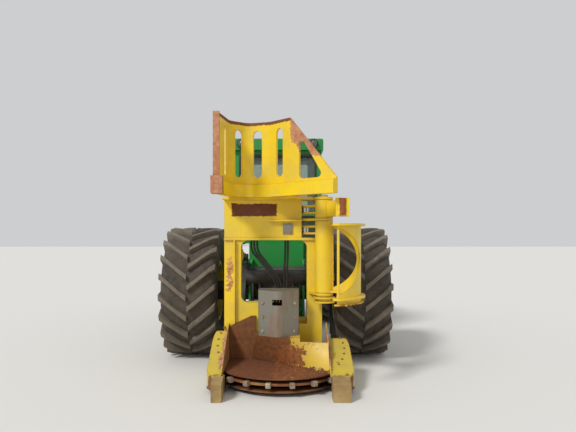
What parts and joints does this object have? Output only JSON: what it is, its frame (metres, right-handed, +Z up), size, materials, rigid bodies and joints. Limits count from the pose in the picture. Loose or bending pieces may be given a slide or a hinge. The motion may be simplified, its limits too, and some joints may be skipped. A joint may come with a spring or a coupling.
{
  "type": "wheeled feller buncher",
  "caption": "Articulated forestry carrier on bar-lug tyres with a cab, lift arms and a disc-saw felling head that cuts and gathers standing trees.",
  "frame": {"origin": "on the ground, at the middle of the machine's length and width", "axes": "-Y is the front, where the felling head is; +X is on the right of someone who looks at the front; +Z is up"},
  "size_m": [3.15, 7.39, 3.24],
  "materials": {
    "yellow_paint": "worn gloss enamel",
    "green_paint": "gloss enamel",
    "black_paint": "satin",
    "rusty_steel": "rust",
    "bare_steel": "worn",
    "chrome_rod": "polished",
    "tyre": "dusty",
    "cast_iron": "rough",
    "glass": "clear",
    "seat_cloth": "woven",
    "plastic": "moulded",
    "hose_rubber": "matt"
  },
  "bodies": {
    "front": {"front_frame": "green_paint", "front_axle": "cast_iron", "cab_shell": "green_paint", "cab_glass": "glass", "cab_roof": "green_paint", "roof_lamps": "plastic", "seat": "seat_cloth", "consoles": "plastic", "steps": "black_paint"},
    "rear": {"rear_frame": "green_paint", "rear_axle": "cast_iron", "hood": "green_paint", "side_grilles": "black_paint", "bumper": "black_paint", "engine": "cast_iron", "radiator": "cast_iron", "side_tanks": "black_paint", "exhaust": "black_paint", "rear_lamps": "plastic"},
    "wheel_front_left": {"tyre_front_left": "tyre", "rim_front_left": "yellow_paint"},
    "wheel_front_right": {"tyre_front_right": "tyre", "rim_front_right": "yellow_paint"},
    "wheel_rear_left": {"tyre_rear_left": "tyre", "rim_rear_left": "yellow_paint"},
    "wheel_rear_right": {"tyre_rear_right": "tyre", "rim_rear_right": "yellow_paint"},
    "lift_arms": {"boom": "green_paint"},
    "head": {"head_frame": "yellow_paint", "gathering_horn": "yellow_paint", "saw_housing": "yellow_paint", "butt_plate": "rusty_steel", "motor_cover": "bare_steel", "saw_motor": "cast_iron", "toes": "rusty_steel", "head_hoses": "hose_rubber"},
    "saw": {"saw_disc": "rusty_steel", "saw_teeth": "bare_steel"},
    "harvest_grab": {"harvest_arm": "yellow_paint"},
    "accumulator_grab": {"accumulator_arm": "yellow_paint"},
    "left_door": {"cab_door": "green_paint", "door_glass": "glass"},
    "grille_door": {"rear_door": "black_paint"},
    "lift_cylinder_barrels": {"lift_barrels": "black_paint"},
    "lift_cylinder_rods": {"lift_rods": "chrome_rod"},
    "tilt_cylinder_barrels": {"tilt_barrels": "black_paint"},
    "tilt_cylinder_rods": {"tilt_rods": "chrome_rod"},
    "steering_barrel_right": {"steer_barrel_right": "black_paint"},
    "steering_rod_right": {"steer_rod_right": "chrome_rod"},
    "steering_barrel_left": {"steer_barrel_left": "black_paint"},
    "steering_rod_left": {"steer_rod_left": "chrome_rod"},
    "harvest_cylinder_barrel": {"harvest_barrel": "black_paint"},
    "harvest_cylinder_rod": {"harvest_rod": "chrome_rod"},
    "accumulator_cylinder_barrel": {"accumulator_barrel": "black_paint"},
    "accumulator_cylinder_rod": {"accumulator_rod": "chrome_rod"}
  },
  "joints": [
    {"name": "articulation", "type": "hinge", "parent": "front", "child": "rear", "pos_m": [0, 0.445, 0.81], "axis": [0, 0, 1], "range_deg": [-40, 40]},
    {"name": "wheel_spin_front_left", "type": "hinge", "parent": "front", "child": "wheel_front_left", "pos_m": [-1.185, -1.155, 0.915], "axis": [1, 0, 0], "continuous": true},
    {"name": "wheel_spin_rear_left", "type": "hinge", "parent": "rear", "child": "wheel_rear_left", "pos_m": [-1.185, 2.045, 0.915], "axis": [1, 0, 0], "continuous": true},
    {"name": "wheel_spin_front_right", "type": "hinge", "parent": "front", "child": "wheel_front_right", "pos_m": [1.185, -1.155, 0.915], "axis": [1, 0, 0], "continuous": true},
    {"name": "wheel_spin_rear_right", "type": "hinge", "parent": "rear", "child": "wheel_rear_right", "pos_m": [1.185, 2.045, 0.915], "axis": [1, 0, 0], "continuous": true},
    {"name": "boom_lift", "type": "hinge", "parent": "front", "child": "lift_arms", "pos_m": [0, -1, 1.23], "axis": [-1, 0, 0], "range_deg": [0, 30]},
    {"name": "head_tilt", "type": "hinge", "parent": "lift_arms", "child": "head", "pos_m": [0, -2.28, 0.56], "axis": [1, 0, 0], "range_deg": [-10, 30]},
    {"name": "saw_spin", "type": "hinge", "parent": "head", "child": "saw", "pos_m": [0.08, -2.84, 0.143], "axis": [0, 0, 1], "continuous": true},
    {"name": "harvest_swing", "type": "hinge", "parent": "head", "child": "harvest_grab", "pos_m": [0.598, -2.7, 1.5], "axis": [0, 0, -1], "range_deg": [0, 80]},
    {"name": "accumulator_swing", "type": "hinge", "parent": "head", "child": "accumulator_grab", "pos_m": [0.598, -2.7, 2.05], "axis": [0, 0, -1], "range_deg": [0, 80]},
    {"name": "cab_door_hinge", "type": "hinge", "parent": "front", "child": "left_door", "pos_m": [-0.71, -0.4695, 2.3], "axis": [0, 0, 1], "range_deg": [0, 85]},
    {"name": "grille_door_hinge", "type": "hinge", "parent": "rear", "child": "grille_door", "pos_m": [-0.48, 3.523, 1.6], "axis": [0, 0, 1], "range_deg": [0, 100]},
    {"name": "lift_barrel_turn", "type": "hinge", "parent": "front", "child": "lift_cylinder_barrels", "pos_m": [0, -1.33, 0.51], "axis": [-1, 0, 0], "range_deg": [0, 22.88]},
    {"name": "lift_stroke", "type": "slide", "parent": "lift_cylinder_barrels", "child": "lift_cylinder_rods", "axis": [0, -0.8734, 0.4871], "range_m": [0, 0.4018]},
    {"name": "tilt_barrel_turn", "type": "hinge", "parent": "lift_arms", "child": "tilt_cylinder_barrels", "pos_m": [0, -1.26, 1.4], "axis": [1, 0, 0], "range_deg": [-1.69, 5.06]},
    {"name": "tilt_stroke", "type": "slide", "parent": "tilt_cylinder_barrels", "child": "tilt_cylinder_rods", "axis": [0, -0.9969, 0.079], "range_m": [-0.1559, 0.4667]},
    {"name": "steer_right_barrel_turn", "type": "hinge", "parent": "front", "child": "steering_barrel_right", "pos_m": [0.62, -0.275, 0.76], "axis": [0, 0, 1], "range_deg": [-2.53, 2.53]},
    {"name": "steer_right_stroke", "type": "slide", "parent": "steering_barrel_right", "child": "steering_rod_right", "axis": [-0.3317, 0.9434, 0], "range_m": [-0.2323, 0.2323]},
    {"name": "steer_left_barrel_turn", "type": "hinge", "parent": "front", "child": "steering_barrel_left", "pos_m": [-0.62, -0.275, 0.76], "axis": [0, 0, 1], "range_deg": [-2.53, 2.53]},
    {"name": "steer_left_stroke", "type": "slide", "parent": "steering_barrel_left", "child": "steering_rod_left", "axis": [0.3317, 0.9434, 0], "range_m": [-0.2323, 0.2323]},
    {"name": "harvest_barrel_turn", "type": "hinge", "parent": "head", "child": "harvest_cylinder_barrel", "pos_m": [-0.35, -2.45865, 1.795], "axis": [0, 0, -1], "range_deg": [-5.6, 0]},
    {"name": "harvest_stroke", "type": "slide", "parent": "harvest_cylinder_barrel", "child": "harvest_cylinder_rod", "axis": [1, 0, 0], "range_m": [0, 0.4273]},
    {"name": "accumulator_barrel_turn", "type": "hinge", "parent": "head", "child": "accumulator_cylinder_barrel", "pos_m": [-0.35, -2.45865, 2.045], "axis": [0, 0, -1], "range_deg": [-5.6, 0]},
    {"name": "accumulator_stroke", "type": "slide", "parent": "accumulator_cylinder_barrel", "child": "accumulator_cylinder_rod", "axis": [1, 0, 0], "range_m": [0, 0.4273]}
  ],
  "couplings": [
    {"joint": "lift_barrel_turn", "follows": "boom_lift", "ratio": 0.76231},
    {"joint": "lift_stroke", "follows": "boom_lift", "m_per_rad": 0.76643},
    {"joint": "tilt_barrel_turn", "follows": "head_tilt", "ratio": 0.16827},
    {"joint": "tilt_stroke", "follows": "head_tilt", "m_per_rad": 0.89033},
    {"joint": "steer_right_barrel_turn", "follows": "articulation", "ratio": 0.06288},
    {"joint": "steer_right_stroke", "follows": "articulation", "m_per_rad": 0.33198},
    {"joint": "steer_left_barrel_turn", "follows": "articulation", "ratio": 0.06288},
    {"joint": "steer_left_stroke", "follows": "articulation", "m_per_rad": -0.33198},
    {"joint": "harvest_barrel_turn", "follows": "harvest_swing", "ratio": -0.06982},
    {"joint": "harvest_stroke", "follows": "harvest_swing", "m_per_rad": 0.30567},
    {"joint": "accumulator_barrel_turn", "follows": "accumulator_swing", "ratio": -0.06982},
    {"joint": "accumulator_stroke", "follows": "accumulator_swing", "m_per_rad": 0.30567}
  ]
}
